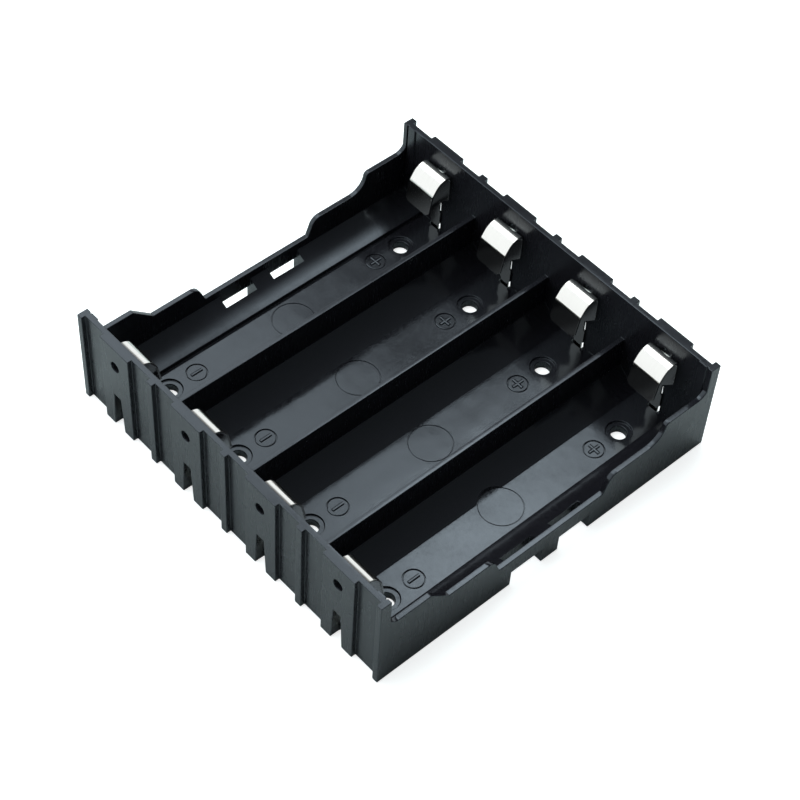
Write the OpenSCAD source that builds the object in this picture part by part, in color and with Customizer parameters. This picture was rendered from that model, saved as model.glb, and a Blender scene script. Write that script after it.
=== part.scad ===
// Four-bay holder for cylindrical rechargeable cells, with a leaf contact at both ends of each bay.
// Millimetres. X runs across the bays, Y along the cells with the + ends at +Y, Z up from the underside.
// The origin is the centre of the underside.

/* [Cells] */
// Largest diameter of the cell that each bay takes
cell_diameter = 18.2; // [17.8:0.1:18.6]
// Length of the cell
cell_length = 65; // [62:0.5:70]
// Total side-to-side play of the cell in its bay
bay_clearance = 0.2; // [0.1:0.05:0.6]
// Room behind the cell's ends that each contact springs in
contact_room = 4.05; // [3.8:0.05:6]

/* [Walls] */
// Thickness of the partitions between bays
partition_thickness = 0.95; // [0.8:0.05:2]
// Height of the partitions' tops
partition_height = 12; // [9:0.1:16]
// Thickness of the two side walls
side_thickness = 1; // [0.8:0.05:2]
// Height of the end walls, which is the height of the whole holder
holder_height = 21.2; // [19:0.1:26]
// Thickness of the end walls between their pads and ribs
end_panel_thickness = 1.05; // [0.9:0.05:2.5]
// How far the pads, ribs and corner posts stand out from the end panels
end_relief = 0.9; // [0.5:0.05:1.4]

/* [Floor] */
// Thickness of the flat floor
floor_thickness = 2.15; // [1.8:0.05:3]
// Radius of the cradle curve beside the partitions
inner_cradle_radius = 12.3; // [11:0.1:14]
// Height at which the cradle curves meet the walls
cradle_top = 5.5; // [4.8:0.1:6.5]
// Radius of the stepped cradle curve beside the side walls
outer_cradle_radius = 16; // [14:0.1:20]
// Distance from a bay's centre line to the step of the outer cradle
outer_step = 3.6; // [3:0.1:4.5]

/* [Side wall tops] */
// Height of the side walls next to the end walls
side_high = 14.6; // [13:0.1:17]
// Height of the side walls' middle ledges
side_mid = 10.8; // [9.5:0.1:12]
// Height of the side walls along the low finger opening
side_low = 7.1; // [6.2:0.1:8.5]
// Distance from the middle to where the straight slope leaves the high level
slope_top = 27.7; // [26.5:0.1:29]
// Distance from the middle to where the straight slope reaches the ledge
slope_foot = 23.5; // [20:0.1:25]
// Distance from the middle to the foot of the shoulder at the sloped end
shoulder_foot_minus = 11.9; // [10:0.1:13]
// Distance from the middle to the foot of the shoulder at the curved end
shoulder_foot_plus = 12.4; // [10:0.1:13]
// Radius of both shoulders
shoulder_radius = 2.2; // [1:0.1:2.5]
// Lean of the shoulders' steep faces from upright, in degrees
shoulder_lean = 22; // [5:1:30]
// Distance from the middle to where the S-curve leaves the ledge
sweep_foot = 23; // [22:0.1:25]
// Radius of the hollow lower half of the S-curve
sweep_radius = 3.5; // [2:0.1:3.6]
// Radius of the rounded upper corner of the S-curve
sweep_corner_radius = 0.9; // [0.5:0.1:1.4]
// Radius of the fillet between side wall top and end wall
end_fillet_radius = 2.2; // [0.5:0.1:3]

/* [End wall details] */
// Width of the raised pad behind each cell
pad_width = 7.8; // [5:0.1:10]
// Width of the upright ribs between the pads
rib_width = 1.5; // [1:0.1:2.5]
// Width of the corner posts
post_width = 1.2; // [0.8:0.1:2.5]
// Width of the thickened strips inside the corners, measured from the side walls
corner_strip_width = 2.1; // [1:0.1:4]
// How far the thickened strips stand into the end bays
corner_strip_relief = 0.25; // [0.2:0.05:1]
// Width of the groove between each thickened strip and its side wall
corner_groove_width = 0.3; // [0.2:0.05:0.6]
// Diameter of the small hole in each pad
pad_hole_diameter = 2.2; // [1.5:0.1:3]
// Distance from the top of the end wall down to the pad holes
pad_hole_drop = 4.75; // [3.5:0.05:7]
// Height of the notch at the foot of each pad
notch_height = 8.5; // [6:0.1:10]
// Width of the notch at its top
notch_top_width = 1.8; // [1.2:0.1:3]
// Width of the notch at the underside
notch_foot_width = 2.7; // [2:0.1:4]

/* [Fixing] */
// Diameter of the screw holes through the floor
screw_hole_diameter = 3; // [2.2:0.1:3.4]
// Diameter of the counterbore of each screw hole
counterbore_diameter = 4.8; // [4:0.1:6]
// Depth of the counterbore
counterbore_depth = 0.4; // [0.3:0.1:1.2]
// Distance from the middle to each row of screw holes
screw_row = 27.5; // [25:0.1:29]
// Width of the strap slots inside the side walls
strap_slot_width = 2.05; // [1.5:0.05:3]
// Height of the strap openings under the side walls
strap_opening_height = 3.5; // [2.5:0.1:4.5]
// Length of each strap slot
strap_slot_length = 7.2; // [5:0.1:8]
// Width of the tab between the two slots of a side wall
strap_tab_width = 4; // [3:0.1:6]
// Distance of the tab's middle from the middle of the holder
strap_tab_offset = 0.45; // [-1:0.05:1]

/* [Contacts] */
// Thickness of the contact strip
strip_thickness = 0.4; // [0.25:0.05:0.5]
// Width of the contact strip
strip_width = 6.3; // [5:0.1:7.5]
// Height of the top of the bend
contact_top = 17.4; // [16.6:0.1:18.5]
// Outer radius of the first, tight bend over the back leg
first_bend_radius = 1.3; // [1:0.05:1.6]
// Outer radius of the second, wider bend
second_bend_radius = 3; // [2.4:0.1:3.4]
// Angle that the second bend turns down from level, in degrees
shoulder_angle = 57; // [50:1:62]
// Length of the straight shoulder between the bends
shoulder_length = 1.25; // [0.8:0.05:1.8]
// Outer radius of the knee between shoulder and leaf
knee_radius = 1.6; // [1:0.1:2.5]
// Length of the nearly upright leaf below the knee
leaf_length = 4.4; // [3.4:0.1:4.7]
// Lean of the leaf from upright, in degrees
leaf_lean = 11; // [4:1:16]
// Bevel on the two free corners of the leaf
leaf_corner = 0.7; // [0.2:0.1:1.5]
// Width of the tail that goes down through the floor
tail_width = 1.9; // [1.2:0.1:2.4]
// Height at which the back leg starts to narrow
tail_shoulder = 11.3; // [10.5:0.1:13.5]
// Height over which the back leg narrows to the tail
tail_taper = 2.2; // [1:0.1:3]
// Width over the barbs that lock the tail in its slot
barb_width = 2.6; // [2.2:0.1:2.8]
// Height of the top of the barbs
barb_top = 6.7; // [6:0.1:7.3]
// Height of the foot of the barbs
barb_foot = 3.1; // [2.8:0.1:4]
// Height of the tail's end above the underside
tail_end = 0.35; // [0.1:0.05:1]
// Play around the tail in its floor slot
tail_clearance = 0.3; // [0.1:0.05:0.5]

/* [Hidden] */
cell_count = 4;
bay_width = cell_diameter + bay_clearance;
bay_pitch = bay_width + partition_thickness;
holder_width = cell_count * bay_width + (cell_count - 1) * partition_thickness + 2 * side_thickness;
inner_length = cell_length + 2 * contact_room;
end_thickness = end_panel_thickness + end_relief;
holder_length = inner_length + 2 * end_thickness;
half_width = holder_width / 2;
half_length = holder_length / 2;
inner_end = inner_length / 2;
bay_half = bay_width / 2;
shoulder_drop = side_mid - shoulder_radius * (1 - sin(shoulder_lean)) - side_low;
shoulder_run = shoulder_drop * tan(shoulder_lean);
shoulder_reach = shoulder_run + shoulder_radius * cos(shoulder_lean);
sweep_reach = sweep_radius + sweep_corner_radius;
sweep_drop = side_high - side_mid - sweep_reach;
sweep_run = sqrt(pow(sweep_reach, 2) - pow(sweep_drop, 2));
sweep_tilt = asin(sweep_drop / sweep_reach);
half_turn = 180;
bend_y = inner_end - first_bend_radius;
second_bend_z = contact_top - second_bend_radius;
shoulder_turn = 90 + shoulder_angle;
leaf_turn = half_turn - leaf_lean;
knee_offset = second_bend_radius - knee_radius;
knee_y = bend_y + knee_offset * cos(shoulder_turn) - shoulder_length * cos(shoulder_angle);
knee_z = second_bend_z + knee_offset * sin(shoulder_turn) - shoulder_length * sin(shoulder_angle);
leaf_end = knee_z + (knee_radius - strip_thickness) * sin(leaf_turn) - leaf_length * cos(leaf_lean);
inner_cradle_z = cradle_top + sqrt(pow(inner_cradle_radius, 2) - pow(bay_half, 2));
outer_cradle_z = cradle_top + sqrt(pow(outer_cradle_radius, 2) - pow(bay_half, 2));
tail_slot_width = tail_width + 2 * tail_clearance;
tail_slot_depth = strip_thickness + tail_clearance;
barb_slope = 0.35;
eps = 0.02;
cut_margin = 1;
arc_steps = 10;
black = [0.05, 0.05, 0.055];
nickel = [0.86, 0.86, 0.84];
$fn = 48;

// Which node to draw, or all of them

// Points of an arc about a centre, from one direction in degrees to another.
function arc(across, up, radius, start, end) = [
  for (step = [0:arc_steps])
    let (angle = start + (end - start) * step / arc_steps)
      [across + radius * cos(angle), up + radius * sin(angle)]
];

function bay_x(number) = (number - (cell_count + 1) / 2) * bay_pitch;

// Stands an outline drawn in Y and Z upright and gives it a length along X from the left face.
module along_x(left, length) {
  translate([left, 0, 0])
    rotate([90, 0, 90])
      linear_extrude(height = length)
        children();
}

// Stands an outline drawn in X and Z upright and gives it a length along Y, centred on the holder.
module along_y(length) {
  translate([0, length / 2, 0])
    rotate([90, 0, 0])
      linear_extrude(height = length)
        children();
}

// The side walls' outline, seen along X, from the -Y end to the +Y end. The two ends differ: a straight
// slope at -Y and an S-curve at +Y, with a shoulder down to the low finger opening on both sides of it.
module side_outline() {
  fillet_z = side_high + end_fillet_radius;
  shoulder_z = side_mid - shoulder_radius;
  hollow_z = side_mid + sweep_radius;
  polygon(concat(
    [[-inner_end - eps, 0], [-inner_end - eps, fillet_z]],
    arc(-inner_end + end_fillet_radius, fillet_z, end_fillet_radius, half_turn, 270),
    [[-slope_top, side_high], [-slope_foot, side_mid]],
    arc(-shoulder_foot_minus - shoulder_reach, shoulder_z, shoulder_radius, 90, shoulder_lean),
    [[-shoulder_foot_minus, side_low], [shoulder_foot_plus, side_low]],
    arc(shoulder_foot_plus + shoulder_reach, shoulder_z, shoulder_radius, half_turn - shoulder_lean, 90),
    arc(sweep_foot, hollow_z, sweep_radius, -90, sweep_tilt),
    arc(sweep_foot + sweep_run, side_high - sweep_corner_radius, sweep_corner_radius, half_turn + sweep_tilt, 90),
    arc(inner_end - end_fillet_radius, fillet_z, end_fillet_radius, 270, 360),
    [[inner_end + eps, fillet_z], [inner_end + eps, 0]]
  ));
}

// One half of a bay's hollow beside a partition, drawn for +X of the bay's centre line.
module inner_half_hollow() {
  intersection() {
    translate([0, inner_cradle_z]) circle(r = inner_cradle_radius, $fn = 96);
    translate([-eps, floor_thickness]) square([bay_half + eps, cradle_top - floor_thickness + eps]);
  }
}

// One half of a bay's hollow beside a side wall: the flat floor steps up to a shallower cradle.
module outer_half_hollow() {
  intersection() {
    translate([0, outer_cradle_z]) circle(r = outer_cradle_radius, $fn = 96);
    translate([-eps, floor_thickness]) square([bay_half + eps, cradle_top - floor_thickness + eps]);
  }
  translate([-eps, floor_thickness]) square([outer_step + eps, cradle_top - floor_thickness]);
}

// Everything that is hollow above the floors, seen along Y, up to the top of the holder.
module bay_outline(number) {
  translate([bay_x(number), 0]) {
    translate([-bay_half, cradle_top]) square([bay_width, holder_height]);
    if (number == cell_count) outer_half_hollow();
    if (number < cell_count) inner_half_hollow();
    if (number == 1) mirror([1, 0]) outer_half_hollow();
    if (number > 1) mirror([1, 0]) inner_half_hollow();
  }
}

// Floor and walls between the two end walls.
module trough() {
  difference() {
    along_x(-half_width, holder_width) side_outline();
    along_y(inner_length) {
      for (number = [1:cell_count]) bay_outline(number);
      translate([-half_width + side_thickness, partition_height])
        square([holder_width - 2 * side_thickness, holder_height]);
    }
  }
}

// Partitions stand higher than the side walls' low parts, so they are added by themselves.
module partitions() {
  for (number = [1:cell_count - 1])
    translate([bay_x(number) + bay_pitch / 2 - partition_thickness / 2, -inner_end - eps, 0])
      cube([partition_thickness, inner_length + 2 * eps, partition_height]);
}

// Plan of a raised strip on an end wall, standing out to +Y.
module relief_plan(width) {
  translate([-width / 2, -eps]) square([width, end_relief + eps]);
}

// Plan of the corner post at +X.
module post_plan() {
  translate([half_width - post_width, -eps]) square([post_width, end_relief + eps]);
}

// Plan of the thickened strip inside the corner at +X, standing in towards -Y, with a groove beside the
// end of the side wall.
module corner_strip_plan() {
  inner_face = half_width - side_thickness;
  depth = corner_strip_relief + end_panel_thickness;
  translate([inner_face - corner_strip_width, -corner_strip_relief])
    square([corner_strip_width - corner_groove_width, depth]);
  translate([inner_face, -corner_strip_relief]) square([side_thickness, depth]);
}

// End wall at +Y with its pads, ribs and corner posts.
module end_wall() {
  translate([0, inner_end, 0])
    linear_extrude(height = holder_height) {
      translate([-half_width, 0]) square([holder_width, end_panel_thickness]);
      translate([0, end_panel_thickness]) {
        for (number = [1:cell_count]) translate([bay_x(number), 0]) relief_plan(pad_width);
        for (number = [1:cell_count - 1])
          translate([bay_x(number) + bay_pitch / 2, 0]) relief_plan(rib_width);
        post_plan();
        mirror([1, 0]) post_plan();
      }
      corner_strip_plan();
      mirror([1, 0]) corner_strip_plan();
    }
}

// What is cut through the end wall at +Y behind one bay: the small hole, the notch and the tail slot.
module end_cuts() {
  translate([0, inner_end - eps, holder_height - pad_hole_drop])
    rotate([-90, 0, 0])
      cylinder(h = end_thickness + 2 * eps, d = pad_hole_diameter, $fn = 32);
  translate([0, inner_end + end_thickness + eps, 0])
    rotate([90, 0, 0])
      linear_extrude(height = end_thickness + 2 * eps)
        polygon([
          [-notch_foot_width / 2, -eps],
          [notch_foot_width / 2, -eps],
          [notch_top_width / 2, notch_height],
          [-notch_top_width / 2, notch_height]
        ]);
  translate([-tail_slot_width / 2, inner_end - tail_slot_depth, -eps])
    cube([tail_slot_width, tail_slot_depth + eps, floor_thickness + 2 * eps]);
}

// Screw hole: a through hole with a shallow counterbore.
module screw_hole() {
  translate([0, 0, -eps]) cylinder(h = floor_thickness + 2 * eps, d = screw_hole_diameter, $fn = 48);
  translate([0, 0, floor_thickness - counterbore_depth])
    cylinder(h = counterbore_depth + eps, d = counterbore_diameter, $fn = 48);
}

// The two strap slots beside the side wall at +X.
module strap_slots() {
  inner_face = half_width - side_thickness;
  for (side = [-1, 1])
    translate([0, strap_tab_offset + side * (strap_tab_width + strap_slot_length) / 2, 0]) {
      translate([inner_face - strap_slot_width, -strap_slot_length / 2, -eps])
        cube([strap_slot_width, strap_slot_length, cradle_top + cut_margin]);
      translate([inner_face - eps, -strap_slot_length / 2, -eps])
        cube([side_thickness + 2 * eps, strap_slot_length, strap_opening_height + eps]);
    }
}

module holder_body() {
  color(black)
    difference() {
      union() {
        trough();
        partitions();
        end_wall();
        mirror([0, 1, 0]) end_wall();
      }
      for (number = [1:cell_count]) translate([bay_x(number), 0, 0]) {
        end_cuts();
        mirror([0, 1, 0]) end_cuts();
        translate([0, screw_row, 0]) screw_hole();
        translate([0, -screw_row, 0]) screw_hole();
      }
      strap_slots();
      mirror([1, 0, 0]) strap_slots();
    }
}

// Points along the bent strip at a depth inside its outer face: up the back leg, over the two bends,
// down the shoulder, round the knee and down the leaf.
function strip_side(depth) = concat(
  [[inner_end - depth, tail_end]],
  arc(bend_y, contact_top - first_bend_radius, first_bend_radius - depth, 0, 90),
  [for (point = arc(bend_y, second_bend_z, second_bend_radius - depth, 90, shoulder_turn))
    if (point[0] < bend_y - eps) point],
  arc(knee_y, knee_z, knee_radius - depth, shoulder_turn, leaf_turn),
  [[
    knee_y + (knee_radius - depth) * cos(leaf_turn) - leaf_length * sin(leaf_lean),
    knee_z + (knee_radius - depth) * sin(leaf_turn) - leaf_length * cos(leaf_lean)
  ]]
);

// Side view of the strip, seen along X.
module strip_outline() {
  back = strip_side(strip_thickness);
  polygon(concat(strip_side(0), [for (step = [len(back) - 1:-1:0]) back[step]]));
}

// What the strip loses beside its tail, seen along Y, on the +X side.
module tail_waste() {
  polygon([
    [tail_width / 2, -cut_margin],
    [strip_width, -cut_margin],
    [strip_width, tail_shoulder],
    [strip_width / 2, tail_shoulder],
    [tail_width / 2, tail_shoulder - tail_taper],
    [tail_width / 2, barb_top],
    [barb_width / 2, barb_top - barb_slope],
    [barb_width / 2, barb_foot + barb_slope],
    [tail_width / 2, barb_foot]
  ]);
}

// What the strip loses at a free corner of its leaf, seen along Y, on the +X side.
module corner_waste() {
  polygon([
    [strip_width / 2 - leaf_corner - cut_margin, leaf_end - cut_margin],
    [strip_width / 2 + cut_margin, leaf_end - cut_margin],
    [strip_width / 2 + cut_margin, leaf_end + leaf_corner + cut_margin]
  ]);
}

// Contact at the +Y end of a bay whose centre line is X = 0, its back leg against the end wall.
module leaf_contact() {
  difference() {
    along_x(-strip_width / 2, strip_width) strip_outline();
    for (side = [0, 1])
      mirror([side, 0, 0]) {
        translate([0, inner_end + cut_margin, 0])
          rotate([90, 0, 0])
            linear_extrude(height = strip_thickness + 1.5 * cut_margin)
              tail_waste();
        translate([0, inner_end - strip_thickness - cut_margin / 2, 0])
          rotate([90, 0, 0])
            linear_extrude(height = 2 * contact_room)
              corner_waste();
      }
  }
}

// Contact in the numbered bay, at the + end or turned round to the - end.
module bay_contact(number, minus_end) {
  translate([bay_x(number), 0, 0])
    mirror([0, minus_end, 0])
      leaf_contact();
}

module contact_plus_1() {
  color(nickel) bay_contact(1, 0);
}

module contact_plus_2() {
  color(nickel) bay_contact(2, 0);
}

module contact_plus_3() {
  color(nickel) bay_contact(3, 0);
}

module contact_plus_4() {
  color(nickel) bay_contact(4, 0);
}

module contact_minus_1() {
  color(nickel) bay_contact(1, 1);
}

module contact_minus_2() {
  color(nickel) bay_contact(2, 1);
}

module contact_minus_3() {
  color(nickel) bay_contact(3, 1);
}

module contact_minus_4() {
  color(nickel) bay_contact(4, 1);
}

holder_body();
contact_plus_1();
contact_plus_2();
contact_plus_3();
contact_plus_4();
contact_minus_1();
contact_minus_2();
contact_minus_3();
contact_minus_4();
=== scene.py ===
from math import cos, pi, radians, sin

import bmesh
import bpy
from mathutils import Matrix, Vector


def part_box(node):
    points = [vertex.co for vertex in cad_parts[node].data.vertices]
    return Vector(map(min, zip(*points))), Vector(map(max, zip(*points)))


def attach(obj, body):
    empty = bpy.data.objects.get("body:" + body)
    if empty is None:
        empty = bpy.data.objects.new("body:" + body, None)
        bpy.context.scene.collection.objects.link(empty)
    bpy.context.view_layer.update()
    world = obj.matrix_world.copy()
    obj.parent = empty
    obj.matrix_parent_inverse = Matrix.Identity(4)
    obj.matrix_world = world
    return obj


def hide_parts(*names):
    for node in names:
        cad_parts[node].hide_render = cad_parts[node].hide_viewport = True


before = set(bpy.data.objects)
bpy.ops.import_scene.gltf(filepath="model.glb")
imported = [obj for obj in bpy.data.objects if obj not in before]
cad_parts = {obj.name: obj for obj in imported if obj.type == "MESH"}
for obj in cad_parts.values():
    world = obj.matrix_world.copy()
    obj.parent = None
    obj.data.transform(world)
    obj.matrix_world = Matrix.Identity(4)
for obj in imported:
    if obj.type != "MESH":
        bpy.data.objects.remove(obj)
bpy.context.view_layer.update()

MM = 0.001
BAYS = (1, 2, 3, 4)

# Sizes of the moulding in millimetres: height of its floors, and from one bay to the next.
FLOOR = 2.15
BAY_PITCH = 19.35
MIDDLE_OF_BAYS = 2.5


def bay_x(bay):
    """Where a bay's centre line is, across the tray."""
    return (bay - MIDDLE_OF_BAYS) * BAY_PITCH


# ---------------------------------------------------------------- colours and nodes

def linear(hex_colour):
    """sRGB hex to the linear colour that a socket takes."""
    parts = [int(hex_colour[i:i + 2], 16) / 255 for i in (1, 3, 5)]
    return tuple(part / 12.92 if part <= 0.04045 else ((part + 0.055) / 1.055) ** 2.4
                 for part in parts) + (1.0,)


def add_node(tree, kind, settings=None, links=None):
    """Adds a node, sets its properties and inputs, and links inputs from (node, output) pairs."""
    node = tree.nodes.new(kind)
    for key, value in (settings or {}).items():
        if isinstance(key, str) and hasattr(node, key) and key not in node.inputs:
            setattr(node, key, value)
        else:
            node.inputs[key].default_value = value
    for key, (source, output) in (links or {}).items():
        tree.links.new(source.outputs[output], node.inputs[key])
    return node


def new_material(name):
    """An empty material and its node tree."""
    material = bpy.data.materials.new(name)
    material.use_nodes = True
    material.node_tree.nodes.clear()
    return material, material.node_tree


# A face is upright when its normal rises less than this, and then it is this much rougher.
UPRIGHT_BELOW = 0.5
WALL_RUB = 0.15


def moulded_abs():
    """Black ABS from a polished steel mould: half gloss that mirrors softly, with faint flow marks."""
    material, tree = new_material("moulded_black_abs")
    place = add_node(tree, "ShaderNodeTexCoord")
    # Flow of the melt: cloudy patches about 8 mm across that shift the gloss a little.
    flow = add_node(tree, "ShaderNodeTexNoise",
                    {"Scale": 1 / (8 * MM), "Detail": 4.0, "Roughness": 0.6},
                    {"Vector": (place, "Object")})
    # Drag marks: the part is drawn out of the mould upwards, so its walls carry upright streaks.
    upright = add_node(tree, "ShaderNodeMapping",
                       {"Scale": (1 / (0.7 * MM), 1 / (0.7 * MM), 1 / (12 * MM))},
                       {"Vector": (place, "Object")})
    drag = add_node(tree, "ShaderNodeTexNoise", {"Scale": 1.0, "Detail": 3.0, "Roughness": 0.6},
                    {"Vector": (upright, "Vector")})
    marks = add_node(tree, "ShaderNodeMath", {"operation": "ADD"},
                     {0: (flow, "Fac"), 1: (drag, "Fac")})
    gloss = add_node(tree, "ShaderNodeMapRange",
                     {"From Min": 0.75, "From Max": 1.25, "To Min": 0.09, "To Max": 0.17},
                     {"Value": (marks, "Value")})
    # The walls rub along the steel as the part is pushed out, so every upright face is more satin.
    facing = add_node(tree, "ShaderNodeNewGeometry")
    slope = add_node(tree, "ShaderNodeSeparateXYZ", links={"Vector": (facing, "Normal")})
    level = add_node(tree, "ShaderNodeMath", {"operation": "ABSOLUTE"}, {0: (slope, "Z")})
    wall = add_node(tree, "ShaderNodeMath", {"operation": "LESS_THAN", 1: UPRIGHT_BELOW},
                    {0: (level, "Value")})
    finish = add_node(tree, "ShaderNodeMath", {"operation": "MULTIPLY_ADD", 1: WALL_RUB},
                      {0: (wall, "Value"), 2: (gloss, "Result")})
    # Pigment: carbon black, a touch greyer where the skin is thinner.
    pigment = add_node(tree, "ShaderNodeMix",
                       {"data_type": "RGBA", 6: linear("#17171b"), 7: linear("#1e1e22")},
                       {"Factor": (flow, "Fac")})
    # Skin of the mould: a fine grain, 0.3 mm across so that it shows, and a few thousandths deep.
    grain = add_node(tree, "ShaderNodeTexNoise",
                     {"Scale": 1 / (0.3 * MM), "Detail": 2.0},
                     {"Vector": (place, "Object")})
    # Sink: the walls are not quite flat, over about 10 mm.
    sink = add_node(tree, "ShaderNodeTexNoise",
                    {"Scale": 1 / (10 * MM), "Detail": 2.0},
                    {"Vector": (place, "Object")})
    skin = add_node(tree, "ShaderNodeBump", {"Strength": 0.35, "Distance": 0.006 * MM},
                    {"Height": (grain, "Fac")})
    streaks = add_node(tree, "ShaderNodeBump", {"Strength": 0.3, "Distance": 0.01 * MM},
                       {"Height": (drag, "Fac"), "Normal": (skin, "Normal")})
    waves = add_node(tree, "ShaderNodeBump", {"Strength": 0.6, "Distance": 0.12 * MM},
                     {"Height": (sink, "Fac"), "Normal": (streaks, "Normal")})
    # The sheen comes back slightly blue, as it does from carbon black.
    surface = add_node(tree, "ShaderNodeBsdfPrincipled",
                       {"IOR": 1.53, "Metallic": 0.0, "Specular Tint": linear("#e6f4fd")},
                       {"Base Color": (pigment, 2), "Roughness": (finish, "Value"),
                        "Normal": (waves, "Normal")})
    add_node(tree, "ShaderNodeOutputMaterial", links={"Surface": (surface, "BSDF")})
    return material


def nickel_strip():
    """Spring steel strip, rolled, then bright nickel plated: a clean mirror drawn out along the roll."""
    material, tree = new_material("nickel_plated_strip")
    place = add_node(tree, "ShaderNodeTexCoord")
    # Rolling marks run along the strip, 0.15 mm apart across its width.
    drawn = add_node(tree, "ShaderNodeMapping",
                     {"Scale": (1 / (0.15 * MM), 1 / (4 * MM), 1 / (4 * MM))},
                     {"Vector": (place, "Object")})
    roll = add_node(tree, "ShaderNodeTexNoise", {"Scale": 1.0, "Detail": 2.0},
                    {"Vector": (drawn, "Vector")})
    gloss = add_node(tree, "ShaderNodeMapRange", {"To Min": 0.11, "To Max": 0.18},
                     {"Value": (roll, "Fac")})
    tint = add_node(tree, "ShaderNodeMix",
                    {"data_type": "RGBA", 6: linear("#d2cfc8"), 7: linear("#dedbd5")},
                    {"Factor": (roll, "Fac")})
    marks = add_node(tree, "ShaderNodeBump", {"Strength": 0.15, "Distance": 0.002 * MM},
                     {"Height": (roll, "Fac")})
    surface = add_node(tree, "ShaderNodeBsdfPrincipled", {"Metallic": 1.0},
                       {"Base Color": (tint, 2), "Roughness": (gloss, "Result"),
                        "Normal": (marks, "Normal")})
    add_node(tree, "ShaderNodeOutputMaterial", links={"Surface": (surface, "BSDF")})
    return material


ABS = moulded_abs()
NICKEL = nickel_strip()


# ---------------------------------------------------------------- mesh helpers

ROUNDING_STEPS = 2
SHARP_FROM = radians(40)


def piece_from(bm, name, material):
    """Makes a smooth-shaded piece of the object from a mesh in the making."""
    mesh = bpy.data.meshes.new(name)
    bmesh.ops.recalc_face_normals(bm, faces=bm.faces)
    bm.to_mesh(mesh)
    bm.free()
    for face in mesh.polygons:
        face.use_smooth = True
    piece = bpy.data.objects.new(name, mesh)
    bpy.context.scene.collection.objects.link(piece)
    mesh.materials.append(material)
    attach(piece, "root")
    return piece


def apply_modifiers(piece):
    """Makes what the modifiers do to a piece part of its own mesh."""
    bpy.context.view_layer.update()
    evaluated = piece.evaluated_get(bpy.context.evaluated_depsgraph_get())
    piece.data = bpy.data.meshes.new_from_object(evaluated)
    piece.modifiers.clear()


def flatten_shading(piece):
    """Keeps the flats flat in the shading, so that only the roundings turn the light."""
    flats = piece.modifiers.new("flat_faces", "WEIGHTED_NORMAL")
    flats.mode = "FACE_AREA"
    flats.weight = 100
    flats.keep_sharp = True


def round_edges(piece, radius, by_weight=False):
    """Rounds the edges that carry a weight, or else every edge sharper than SHARP_FROM."""
    bevel = piece.modifiers.new("edge_rounding", "BEVEL")
    bevel.width = radius * MM
    bevel.segments = ROUNDING_STEPS
    bevel.limit_method = "WEIGHT" if by_weight else "ANGLE"
    bevel.angle_limit = SHARP_FROM
    bevel.use_clamp_overlap = False


def turned(bm, across, along, profile, count):
    """A closed turned solid, from (radius, height) points between its flat bottom and its flat top."""
    rings = []
    for radius, z in profile:
        rings.append([bm.verts.new(((across + radius * cos(2 * pi * i / count)) * MM,
                                    (along + radius * sin(2 * pi * i / count)) * MM, z * MM))
                      for i in range(count)])
    for low, high in zip(rings, rings[1:]):
        for i in range(count):
            j = (i + 1) % count
            bm.faces.new((low[i], low[j], high[j], high[i]))
    bm.faces.new(list(reversed(rings[0])))
    bm.faces.new(rings[-1])


# ---------------------------------------------------------------- the moulded tray

EDGE_RADIUS = 0.12
ROUNDED_FROM = radians(18)
FLAT_TO = radians(0.5)
# Points closer than this, in metres, are one.
WELD = 1e-6
# A face narrower than this has no room for a rounding.
SLIVER = 0.06
# A crease is longer than this and shallower than this.
CREASE_LENGTH = 50
CREASE_BELOW = radians(30)
AT_FLOOR = 0.01
# Where a crease is broken up by a pin's end, its parts are still longer than the edges of the groove.
CREASE_PART = 1

# Ends of the mould's pins: radius, width and depth of the fine groove round it, and how far it is sunk.
EJECTOR_PIN = (4.07, 0.1, 0.1, 0.015)
MARK_PIN = (1.93, 0.14, 0.25, 0.03)
# Places of the polarity marks along each bay, and of the ejectors off the middle of each bay.
MARK_PLUS, MARK_MINUS = 21.2, -21.4
EJECTOR_SHIFT = {1: 1.45, 2: 0.0, 3: 0.0, 4: -1.45}
GROOVE_LIP = 0.04
PIN_STEPS = 96


def pin_ends():
    """Solids that cut the flat ends of the mould's pins into the floors, each in its fine groove."""
    bm = bmesh.new()
    pins = []
    for bay in BAYS:
        pins.append((bay_x(bay) + EJECTOR_SHIFT[bay], 0, *EJECTOR_PIN))
        pins.append((bay_x(bay), MARK_PLUS, *MARK_PIN))
        pins.append((bay_x(bay), MARK_MINUS, *MARK_PIN))
    for across, along, radius, groove, depth, recess in pins:
        # From the sunken end over its worn lip, through the groove, and out over the floor's own lip.
        turned(bm, across, along, (
            (radius - 1.4 * groove, FLOOR - recess),
            (radius - 0.6 * groove, FLOOR - recess - GROOVE_LIP),
            (radius - 0.5 * groove, FLOOR - depth),
            (radius + 0.5 * groove, FLOOR - depth),
            (radius + 0.6 * groove, FLOOR - GROOVE_LIP / 2),
            (radius + 1.2 * groove, FLOOR + GROOVE_LIP / 2),
            (radius + 1.2 * groove, FLOOR + 1)), PIN_STEPS)
    return bm


def cut(piece, bm):
    """Cuts the solids away from a piece for good."""
    bmesh.ops.recalc_face_normals(bm, faces=bm.faces)
    mesh = bpy.data.meshes.new("cutter")
    bm.to_mesh(mesh)
    bm.free()
    cutter = bpy.data.objects.new("cutter", mesh)
    bpy.context.scene.collection.objects.link(cutter)
    boolean = piece.modifiers.new("cut", "BOOLEAN")
    boolean.operation = "DIFFERENCE"
    boolean.solver = "EXACT"
    boolean.object = cutter
    apply_modifiers(piece)
    bpy.data.objects.remove(cutter)


def narrowness(face):
    """About how wide a face is: its area over its longest side."""
    return face.calc_area() / max(edge.calc_length() for edge in face.edges)


def at_floor(edge):
    """Whether an edge lies in the plane of the floors."""
    return all(abs(vert.co.z / MM - FLOOR) < AT_FLOOR for vert in edge.verts)


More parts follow.
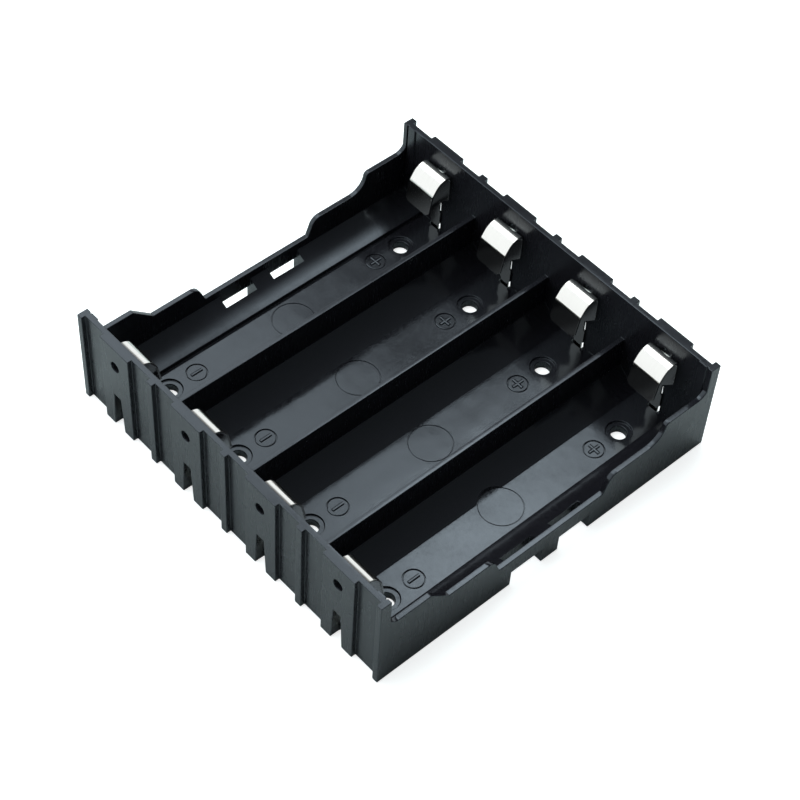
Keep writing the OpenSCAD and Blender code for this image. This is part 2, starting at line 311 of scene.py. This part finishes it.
def keep_creases(piece):
    """Marks the creases between floor and cradles as sharp, so that the shading breaks there."""
    bm = bmesh.new()
    bm.from_mesh(piece.data)
    for edge in bm.edges:
        long_enough = edge.calc_length() > CREASE_PART * MM
        if at_floor(edge) and long_enough and edge.calc_face_angle(0) > ROUNDED_FROM:
            edge.smooth = False
    bm.to_mesh(piece.data)
    bm.free()


def tray():
    """The moulding with the small edge radii that the mould gives it, so that its edges catch light."""
    bm = bmesh.new()
    bm.from_mesh(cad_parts["holder_body"].data)
    bmesh.ops.remove_doubles(bm, verts=bm.verts, dist=WELD)
    bmesh.ops.dissolve_limit(bm, angle_limit=FLAT_TO, verts=bm.verts, edges=bm.edges)
    weights = bm.edges.layers.float.new("bevel_weight_edge")
    for edge in bm.edges:
        if len(edge.link_faces) != 2 or edge.calc_face_angle() < ROUNDED_FROM:
            continue
        # The floor meets the cradles in a plain crease, and slivers are too narrow to round.
        crease = (at_floor(edge) and edge.calc_length() > CREASE_LENGTH * MM
                  and edge.calc_face_angle() < CREASE_BELOW)
        sliver = min(narrowness(face) for face in edge.link_faces) < SLIVER * MM
        edge[weights] = 0.0 if crease or sliver else 1.0
    piece = piece_from(bm, "moulded_tray", ABS)
    cut(piece, pin_ends())
    round_edges(piece, EDGE_RADIUS, by_weight=True)
    apply_modifiers(piece)
    keep_creases(piece)
    flatten_shading(piece)
    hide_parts("holder_body")


tray()


# ---------------------------------------------------------------- marks moulded on the floors

SIGN_HALF = 1.2
# Half section of a sign's stroke: (distance from its middle, height over the floor).
STROKE = ((0.3, -0.1), (0.28, 0.12), (0.23, 0.17), (0.12, 0.185), (0.0, 0.19))


def stroke(bm, bay, along, turn):
    """One straight raised stroke with a rounded top, through the middle of a mark."""
    section = ([(-reach, rise) for reach, rise in STROKE]
               + [(reach, rise) for reach, rise in STROKE[-2::-1]])
    rows = []
    for end in (-SIGN_HALF, SIGN_HALF):
        rows.append([bm.verts.new(((bay_x(bay) + side * cos(turn) - end * sin(turn)) * MM,
                                   (along + side * sin(turn) + end * cos(turn)) * MM,
                                   (FLOOR + rise) * MM))
                     for side, rise in section])
    count = len(section)
    for i in range(count):
        j = (i + 1) % count
        bm.faces.new((rows[0][i], rows[0][j], rows[1][j], rows[1][i]))
    for cap in (bm.faces.new(list(reversed(rows[0]))), bm.faces.new(rows[1])):
        for edge in cap.edges:
            edge.smooth = False


def polarity_marks():
    """A raised plus and minus sign in the two pin ends of each bay's floor."""
    for bay in BAYS:
        for along, turns, word in ((MARK_PLUS, (0, pi / 2), "plus"),
                                   (MARK_MINUS, (0,), "minus")):
            bm = bmesh.new()
            for turn in turns:
                stroke(bm, bay, along, turn)
            piece = piece_from(bm, f"{word}_mark_{bay}", ABS)
            flatten_shading(piece)


polarity_marks()


# ---------------------------------------------------------------- leaf contacts

STRIP = 0.4
STRIP_WIDTH = 6.3
TAIL_END = 0.35
CONTACT_TOP = 17.4
FIRST_BEND = 1.3
BROKEN_EDGE = 0.06
CORNER_CUT = 0.7
# Each step of a bend turns about this many degrees, and a bend has at least this many steps.
STEP_TURN = 3
FEWEST_STEPS = 4

# Half widths up the back leg: tail, barb, tail, taper and full strip, as (height, half width).
BACK_LEG = ((TAIL_END, 0.95), (3.1, 0.95), (3.45, 1.3), (6.35, 1.3), (6.7, 0.95), (9.1, 0.95),
            (11.3, STRIP_WIDTH / 2), (CONTACT_TOP - FIRST_BEND, STRIP_WIDTH / 2))
# Then bends and straights in turn: (radius, angle) for a bend and (length, None) for a straight.
OVER_THE_TOP = ((FIRST_BEND, 90), (3.0, 57), (1.25, None), (1.6, 22), (3.7, None),
                (CORNER_CUT, None))


def strip_rows():
    """The strip's outer face from tail to leaf, as rows.

    Each row has the distance in from its back, the height, the heading and the half width.
    """
    rows = [(0.0, z, 90.0, half) for z, half in BACK_LEG]
    inward, z, heading, full = 0.0, CONTACT_TOP - FIRST_BEND, 90.0, STRIP_WIDTH / 2
    for size, angle in OVER_THE_TOP:
        steps = 1 if angle is None else max(FEWEST_STEPS, angle // STEP_TURN)
        for _ in range(steps):
            half_step = 0 if angle is None else angle / steps / 2
            chord = size if angle is None else 2 * size * sin(radians(half_step))
            heading += half_step
            inward -= cos(radians(heading)) * chord
            z += sin(radians(heading)) * chord
            heading += half_step
            rows.append((inward, z, heading, full))
    # The free end's corners are cut off over the last straight.
    rows[-1] = rows[-1][:3] + (full - CORNER_CUT,)
    return rows


def leaf_contact(word, bay):
    """One bent strip, its cut edges slightly broken, as the press leaves them."""
    low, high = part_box(f"contact_{word}_{bay}")
    middle = (low.x + high.x) / 2 / MM
    end = 1 if high.y > 0 else -1
    back = max(high.y, -low.y) / MM
    bm = bmesh.new()
    rings = []
    for inward, z, heading, half in strip_rows():
        across, up = sin(radians(heading)) * STRIP, -cos(radians(heading)) * STRIP
        ring = []
        for x, depth in ((-half, 0), (half, 0), (half, 1), (-half, 1)):
            y = back - inward - across * depth
            ring.append(bm.verts.new(((middle + x) * MM, end * y * MM, (z - up * depth) * MM)))
        rings.append(ring)
    for near, far in zip(rings, rings[1:]):
        for k in range(4):
            bm.faces.new((near[k], near[(k + 1) % 4], far[(k + 1) % 4], far[k]))
    bm.faces.new(rings[0])
    bm.faces.new(list(reversed(rings[-1])))
    piece = piece_from(bm, f"leaf_{word}_{bay}", NICKEL)
    round_edges(piece, BROKEN_EDGE)
    flatten_shading(piece)
    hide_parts(f"contact_{word}_{bay}")


for bay_number in BAYS:
    leaf_contact("plus", bay_number)
    leaf_contact("minus", bay_number)


# ---------------------------------------------------------------- stage, light and camera

TABLE = "#e4efec"
TABLE_GLOW = 0.75
TABLE_HALF = 3.0
DAYLIGHT = "#f4faff"
LIGHT_HEIGHT = 1000
# Diffusers: name, then left, right, near and far edge as (place, softness) in millimetres, then
# strength.
SOFTBOXES = (("softbox", (-560, 60), (-20, 250), (440, 40), (670, 130), 5.4),
             ("front_softbox", (-560, 60), (-20, 250), (-250, 60), (440, 40), 2.4),
             ("side_softbox", (-900, 60), (-560, 60), (-250, 60), (590, 25), 2.0),
             ("far_side_softbox", (-900, 60), (-560, 60), (590, 25), (670, 130), 0.1))
ROOM_LIGHT = 0.15
WALL_LIGHT = 1.5
WALL_TOWARD = (-0.85, -0.45, 0.25)
HORIZON_LIGHT = 1.4


def floor():
    """A pale table: white to the camera, with the object's soft shadow kept."""
    material, tree = new_material("pale_table")
    rays = add_node(tree, "ShaderNodeLightPath")
    paint = add_node(tree, "ShaderNodeBsdfDiffuse", {"Color": linear(TABLE)})
    glow = add_node(tree, "ShaderNodeEmission", {"Color": linear("#ffffff"), "Strength": TABLE_GLOW})
    lit = add_node(tree, "ShaderNodeAddShader", links={0: (paint, "BSDF"), 1: (glow, "Emission")})
    surface = add_node(tree, "ShaderNodeMixShader",
                       links={"Fac": (rays, "Is Camera Ray"), 1: (paint, "BSDF"), 2: (lit, "Shader")})
    add_node(tree, "ShaderNodeOutputMaterial", links={"Surface": (surface, "Shader")})
    bm = bmesh.new()
    bmesh.ops.create_grid(bm, x_segments=1, y_segments=1, size=TABLE_HALF)
    stage_piece(bm, "table", material)


def stage_piece(bm, name, material):
    """Makes a piece of the stage from a mesh in the making."""
    mesh = bpy.data.meshes.new(name)
    bm.to_mesh(mesh)
    bm.free()
    mesh.materials.append(material)
    piece = bpy.data.objects.new(name, mesh)
    bpy.context.scene.collection.objects.link(piece)


def softbox(name, left, right, near, far, strength):
    """A diffuser hung a metre up that fades out over its edges."""
    material, tree = new_material(name + "_cloth")
    place = add_node(tree, "ShaderNodeTexCoord")
    parts = add_node(tree, "ShaderNodeSeparateXYZ", links={"Vector": (place, "Object")})
    level = None
    for axis, (edge, softness), before, after in (("X", left, 0.0, 1.0), ("X", right, 1.0, 0.0),
                                                  ("Y", near, 0.0, 1.0), ("Y", far, 1.0, 0.0)):
        fade = add_node(tree, "ShaderNodeMapRange",
                        {"interpolation_type": "SMOOTHSTEP", "From Min": (edge - softness) * MM,
                         "From Max": (edge + softness) * MM, "To Min": before, "To Max": after},
                        {"Value": (parts, axis)})
        level = add_node(tree, "ShaderNodeMath", {"operation": "MULTIPLY", 1: strength},
                         {0: (fade, "Result")} if level is None else
                         {0: (fade, "Result"), 1: (level, "Value")})
    glow = add_node(tree, "ShaderNodeEmission", {"Color": linear(DAYLIGHT)},
                    {"Strength": (level, "Value")})
    clear = add_node(tree, "ShaderNodeBsdfTransparent", {"Color": linear("#ffffff")})
    cloth = add_node(tree, "ShaderNodeAddShader", links={0: (clear, "BSDF"), 1: (glow, "Emission")})
    add_node(tree, "ShaderNodeOutputMaterial", links={"Surface": (cloth, "Shader")})
    low = Vector((left[0] - left[1], near[0] - near[1], LIGHT_HEIGHT)) * MM
    high = Vector((right[0] + right[1], far[0] + far[1], LIGHT_HEIGHT)) * MM
    bm = bmesh.new()
    bm.faces.new([bm.verts.new(corner) for corner in
                  (low, (low.x, high.y, low.z), high, (high.x, low.y, low.z))])
    stage_piece(bm, name, material)


def studio():
    """The room: dim behind the object, brighter towards the front left where a white wall stands."""
    world = bpy.data.worlds.new("studio")
    bpy.context.scene.world = world
    world.use_nodes = True
    tree = world.node_tree
    tree.nodes.clear()
    place = add_node(tree, "ShaderNodeTexCoord")
    aim = Vector(WALL_TOWARD).normalized()
    toward = add_node(tree, "ShaderNodeVectorMath", {"operation": "DOT_PRODUCT", 1: tuple(aim)},
                      {0: (place, "Generated")})
    fade = add_node(tree, "ShaderNodeMapRange",
                    {"interpolation_type": "SMOOTHSTEP", "From Min": 0.25, "From Max": 0.75,
                     "To Min": ROOM_LIGHT, "To Max": WALL_LIGHT},
                    {"Value": (toward, "Value")})
    # A pale strip stands low behind the object on its far left.
    parts = add_node(tree, "ShaderNodeSeparateXYZ", links={"Vector": (place, "Generated")})
    low = add_node(tree, "ShaderNodeMapRange",
                   {"interpolation_type": "SMOOTHSTEP", "From Min": 0.42, "From Max": 0.6,
                    "To Min": HORIZON_LIGHT, "To Max": 0.0},
                   {"Value": (parts, "Z")})
    left = add_node(tree, "ShaderNodeMapRange",
                    {"interpolation_type": "SMOOTHSTEP", "From Min": -0.2, "From Max": 0.2,
                     "To Min": 1.0, "To Max": 0.0},
                    {"Value": (parts, "X")})
    strip = add_node(tree, "ShaderNodeMath", {"operation": "MULTIPLY"},
                     {0: (low, "Result"), 1: (left, "Result")})
    level = add_node(tree, "ShaderNodeMath", {"operation": "MAXIMUM"},
                     {0: (fade, "Result"), 1: (strip, "Value")})
    room = add_node(tree, "ShaderNodeBackground", {"Color": linear(DAYLIGHT)},
                    {"Strength": (level, "Value")})
    paper = add_node(tree, "ShaderNodeBackground", {"Color": linear("#ffffff"), "Strength": 1.0})
    rays = add_node(tree, "ShaderNodeLightPath")
    surface = add_node(tree, "ShaderNodeMixShader",
                       links={"Fac": (rays, "Is Camera Ray"), 1: (room, "Background"),
                              2: (paper, "Background")})
    add_node(tree, "ShaderNodeOutputWorld", links={"Surface": (surface, "Shader")})


LENS = 94.0
CAMERA_PLACE = (165.20, -163.62, 289.98)
# Azimuth, elevation and roll, in degrees.
CAMERA_TURNS = (45.04, 50.78, 4.11)


def camera():
    """A long lens from above the corner between the minus end and bay 4."""
    azimuth, elevation, roll = (radians(turn) for turn in CAMERA_TURNS)
    back = Vector((cos(elevation) * sin(azimuth), -cos(elevation) * cos(azimuth), sin(elevation)))
    level = (-back).cross(Vector((0, 0, 1))).normalized()
    upright = level.cross(-back)
    right = cos(roll) * level + sin(roll) * upright
    up = cos(roll) * upright - sin(roll) * level
    data = bpy.data.cameras.new("camera")
    data.sensor_width = 36.0
    data.lens = LENS
    data.clip_start = 0.01
    data.clip_end = 20.0
    eye = bpy.data.objects.new("camera", data)
    bpy.context.scene.collection.objects.link(eye)
    turn = Matrix((right, up, back)).transposed().to_4x4()
    eye.matrix_world = Matrix.Translation(Vector(CAMERA_PLACE) * MM) @ turn
    bpy.context.scene.camera = eye


floor()
for box in SOFTBOXES:
    softbox(*box)
studio()
camera()
bpy.context.scene.view_settings.view_transform = "Standard"
